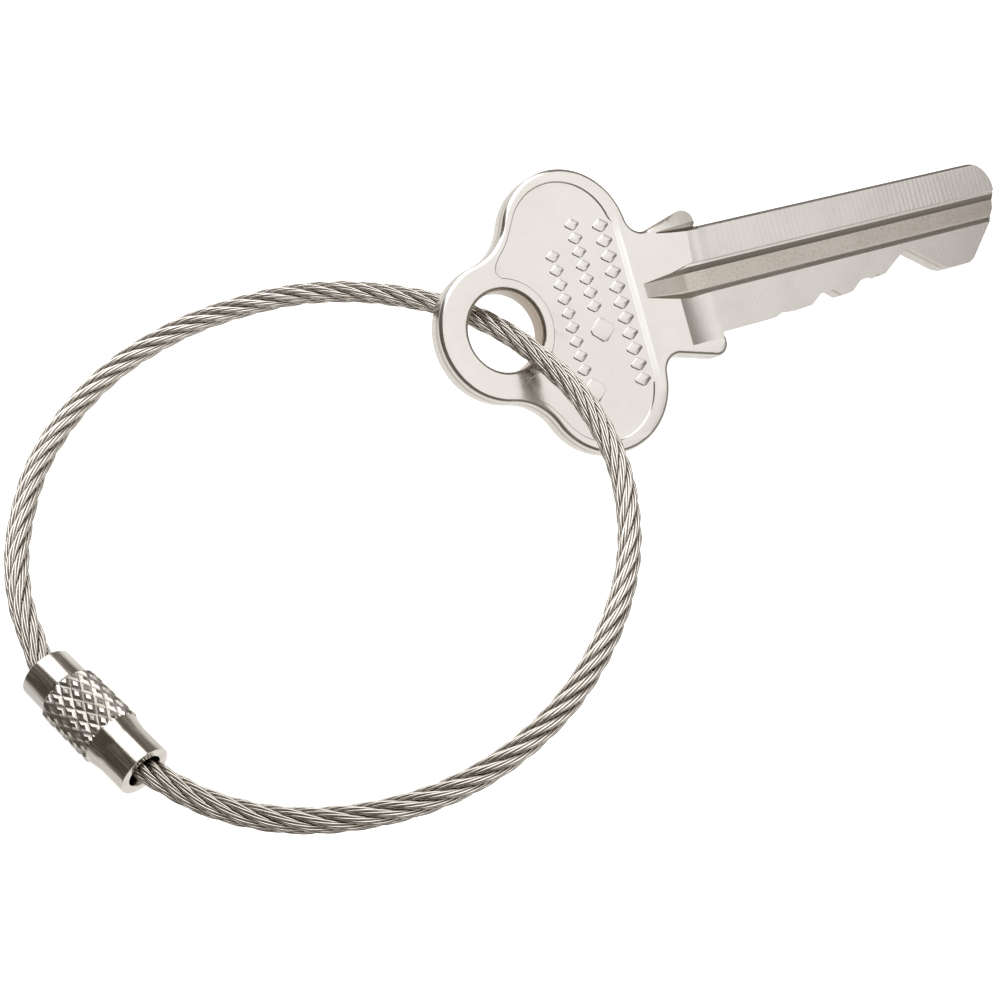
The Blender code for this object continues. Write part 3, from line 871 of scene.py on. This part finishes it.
def turned_metal(name, colour, dull, rough, knurled=False):
    """Turned and polished steel: faint tool rings, streaks along the bar with painted reflection in their
    colour, small stains, and painted shade in a knurl's hollows.
    """
    material, tree, shader, place, parts = metal(name)
    # the streaks stop short of the end faces
    bar = band(tree, parts[2], (COLLAR_START + 0.02 * MM, COLLAR_START + 0.14 * MM),
               (BARREL_LENGTH - 0.14 * MM, BARREL_LENGTH - 0.02 * MM))
    streak = product(tree, noise(tree, place, (1, 1, 0.03), 0.16 * MM), bar)
    stain = noise(tree, place, (1, 1, 1), 0.9 * MM)
    rings = maths(tree, "SINE", product(tree, parts[2], 2 * math.pi / (0.075 * MM)))
    speck = ramp(tree, noise(tree, place, (1, 1, 1), 0.12 * MM, 2.0), 0.62, 0.74)
    shade = tint(tree, ramp(tree, stain, 0.35, 0.75), colour, dull)
    # the streaks' dark and light colour is painted reflection; as relief and roughness they are polishing
    # streaks
    dark = product(tree, ramp(tree, streak, 0.42, 0.66, 0.75, 0.0), bar)
    shade = tint(tree, dark, shade, (0.46, 0.44, 0.41))
    shade = tint(tree, ramp(tree, streak, 0.60, 0.72), shade, (0.98, 0.97, 0.94))
    roughness = ramp(tree, streak, 0.3, 0.8, rough, rough + 0.10)
    roughness = maths(tree, "ADD", roughness, product(tree, speck, 0.18))
    if knurled:
        # painted shade: the hollows between the knurl's diamonds are coloured darker, blotched by the stains
        inside = ramp(tree, from_axis(tree, parts), KNURL_R - KNURL_DEPTH, KNURL_R - 0.25 * KNURL_DEPTH,
                      1.0, 0.0)
        field = band(tree, parts[2], (KNURL_START, KNURL_START + 0.1 * MM), (KNURL_END - 0.1 * MM, KNURL_END))
        painted_shade = product(tree, inside, field, ramp(tree, stain, 0.2, 0.7, 0.25, 0.6))
        shade = tint(tree, painted_shade, shade, (0.36, 0.33, 0.29))
        roughness = maths(tree, "MULTIPLY_ADD", field, 0.12, roughness)
        roughness = maths(tree, "MULTIPLY_ADD", painted_shade, 0.22, roughness)
    height = maths(tree, "MULTIPLY_ADD", streak, 0.5, product(tree, speck, -0.06))
    height = maths(tree, "MULTIPLY_ADD", rings, 0.10, height)
    surface(tree, shader, shade, roughness, height, 0.0022 * MM)
    return material


def key_metal():
    """Nickel-coloured key: satin face, stray scratches, milling marks on the flats, and tints by place, among
    them painted highlight and painted shade.
    """
    material, tree, shader, place, parts = metal("key_nickel")
    s, w, t = parts[0], parts[1], parts[2]
    stain = noise(tree, place, (1, 1, 1), 3.2 * MM)
    satin = noise(tree, place, (0.25, 1, 1), 0.06 * MM, 2.0)
    recess = ramp(tree, t, 0.38 * MM, 0.66 * MM, 1.0, 0.0)
    lines = product(tree, scratches(tree, place), maths(tree, "MULTIPLY_ADD", recess, -0.9, 1.0))

    # milling marks across the blade's flats, strongest on the upper one
    cut = product(tree, ramp(tree, s, 19.0 * MM, 20.0 * MM), ramp(tree, t, 0.90 * MM, 0.93 * MM, 1.0, 0.0))
    upper = product(tree, cut, ramp(tree, w, 1.6 * MM, 1.9 * MM))
    wander = product(tree, noise(tree, place, (1, 0.15, 1), 1.8 * MM), 9.0)
    waves = maths(tree, "SINE", maths(tree, "MULTIPLY_ADD", s, 2 * math.pi / (0.52 * MM), wander))
    patchy = ramp(tree, noise(tree, place, (1, 0.3, 1), 5.0 * MM, 2.0), 0.35, 0.70, 0.25, 1.0)
    strength = maths(tree, "MULTIPLY_ADD", upper, 0.90, product(tree, cut, 0.10))
    marks = product(tree, waves, patchy, strength)

    # tints by place: painted highlight on the panel ridge, painted shade on the stop slope, in the groove and
    # on the hole wall, and a browner groove mouth
    across = maths(tree, "ABSOLUTE", w)
    # painted highlight: a light band across the bow at the panel's ridge
    ridge = product(tree, band(tree, s, (11.80 * MM, 12.00 * MM), (12.36 * MM, 12.50 * MM)),
                    ramp(tree, across, 5.2 * MM, 7.4 * MM, 0.9, 0.0))
    # painted shade: the slope over the upper stop is coloured darker
    stop_slope_shade = product(tree, ramp(tree, s, 14.8 * MM, 16.8 * MM), ramp(tree, w, 4.82 * MM, 4.90 * MM),
                   ramp(tree, s, 16.0 * MM, 19.7 * MM, 0.25, 0.9))
    # painted shade: the deep parts of the key's front, chiefly the groove, are coloured darker; the dust
    # noise adds dust on top
    front = ramp(tree, t, 0.0, 0.2 * MM)
    dust = ramp(tree, noise(tree, place, (0.8, 1, 1), 0.16 * MM, 3.0), 0.48, 0.70, 0.0, 0.40)
    mouth = product(tree, band(tree, s, (13.0 * MM, 13.3 * MM), (16.5 * MM, 18.5 * MM)),
                    ramp(tree, t, 0.95 * MM, 0.985 * MM, 0.40, 0.0), ramp(tree, w, -1.2 * MM, -0.9 * MM))
    # painted shade: the hole's wall and the rim round it are coloured dark brown
    eye = ramp(tree, from_axis(tree, parts), (HOLE_R + 0.02) * MM, (HOLE_R + 0.30) * MM, 0.85, 0.0)

    shade = tint(tree, ramp(tree, stain, 0.35, 0.75, 0.0, 0.5), (0.76, 0.74, 0.71), (0.72, 0.695, 0.66))
    for share, colour in ((product(tree, lines, 0.10), (0.52, 0.49, 0.45)),
                          (product(tree, cut, 0.55), (0.60, 0.575, 0.55)),
                          (product(tree, recess, front, 0.65), (0.42, 0.375, 0.32)),
                          (product(tree, recess, dust), (0.34, 0.30, 0.25)),
                          (mouth, (0.60, 0.52, 0.43)),
                          (ridge, (0.96, 0.95, 0.93)),
                          (stop_slope_shade, (0.44, 0.41, 0.37)),
                          (eye, (0.40, 0.33, 0.27)),
                          (product(tree, ramp(tree, marks, -0.8, 0.8, -0.5, 0.5), 0.30), (0.50, 0.48, 0.45))):
        shade = tint(tree, share, shade, colour)
    roughness = maths(tree, "MULTIPLY_ADD", lines, 0.06, ramp(tree, stain, 0.3, 0.8, 0.17, 0.22))
    roughness = maths(tree, "MULTIPLY_ADD", cut, 0.05, roughness)
    height = maths(tree, "MULTIPLY_ADD", lines, -0.15, maths(tree, "MULTIPLY_ADD", marks, 0.45, satin))
    surface(tree, shader, shade, roughness, height, 0.0035 * MM)
    return material


steel, dull_steel = (0.74, 0.72, 0.69), (0.64, 0.61, 0.57)
for piece, material in ((rope, rope_metal()),
                        (stud, turned_metal("collar_steel", steel, dull_steel, 0.10)),
                        (stop, turned_metal("stop_steel", dull_steel, (0.52, 0.49, 0.45), 0.16)),
                        (barrel, turned_metal("barrel_steel", steel, dull_steel, 0.10, knurled=True)),
                        (key, key_metal())):
    piece.data.materials.clear()
    piece.data.materials.append(material)


# ------------------------------------------------------------------ studio

FLOOR_HALF = 3.0
BOX_DISTANCE = 1.5


def softbox(name, direction, width, height, up, radiance):
    """A large rectangular light facing the object, unseen itself."""
    data = bpy.data.lights.new(name, "AREA")
    data.shape = "RECTANGLE"
    data.size = width
    data.size_y = height
    data.energy = radiance * math.pi * width * height
    back = Vector(direction).normalized()
    side = Vector(up).cross(back).normalized()
    obj = bpy.data.objects.new(name, data)
    turn = Matrix((side, back.cross(side), back)).transposed().to_4x4()
    obj.matrix_world = Matrix.Translation(back * BOX_DISTANCE) @ turn
    obj.visible_camera = False
    bpy.context.scene.collection.objects.link(obj)


softbox("box_left", (-0.25, 0.59, 0.77), 2.6, 1.39, (0.69, 0.72, 0.0), 1.9)
softbox("box_right", (0.47, -0.06, 0.88), 1.5, 1.5, (0.0, 1.0, 0.0), 0.88)

world = bpy.data.worlds.new("studio")
bpy.context.scene.world = world
world.use_nodes = True
sky = world.node_tree
shown = node(sky, "ShaderNodeLightPath").outputs["Is Camera Ray"]
way = node(sky, "ShaderNodeTexCoord").outputs["Generated"]


def facing(direction):
    """Cosine between the direction looked in and a fixed one."""
    return node(sky, "ShaderNodeVectorMath", {0: way, 1: direction}, operation="DOT_PRODUCT").outputs["Value"]


side = ramp(sky, facing((0.68, 0.71, 0.15)), -0.25, 0.35)
room = tint(sky, side, (0.10, 0.088, 0.073), (0.20, 0.18, 0.155))
clutter = ramp(sky, noise(sky, way, (1, 1, 1), 0.16, 2.0), 0.50, 0.66, 0.0, 0.8)
room = tint(sky, clutter, room, (0.33, 0.30, 0.26))
room = tint(sky, ramp(sky, facing((0.05, 0.06, -1.0)), 0.0, 0.46), room, (0.95, 0.93, 0.89))
sky.links.new(tint(sky, shown, room, (1.0, 1.0, 1.0)), sky.nodes["Background"].inputs["Color"])

floor_paint = bpy.data.materials.new("floor")
floor_paint.use_nodes = True
paint = floor_paint.node_tree.nodes["Principled BSDF"]
paint.inputs["Base Color"].default_value = (0.9, 0.9, 0.9, 1.0)
paint.inputs["Roughness"].default_value = 0.8
paint.inputs["Emission Color"].default_value = (1.0, 1.0, 1.0, 1.0)
paint.inputs["Emission Strength"].default_value = 0.85
corners = [(x * FLOOR_HALF, y * FLOOR_HALF, 0.0) for x, y in ((-1, -1), (1, -1), (1, 1), (-1, 1))]
floor = mesh_object("floor", corners, [(0, 1, 2, 3)], smooth=False)
floor.data.materials.append(floor_paint)
floor.visible_glossy = False
bpy.context.scene.view_settings.view_transform = "Standard"
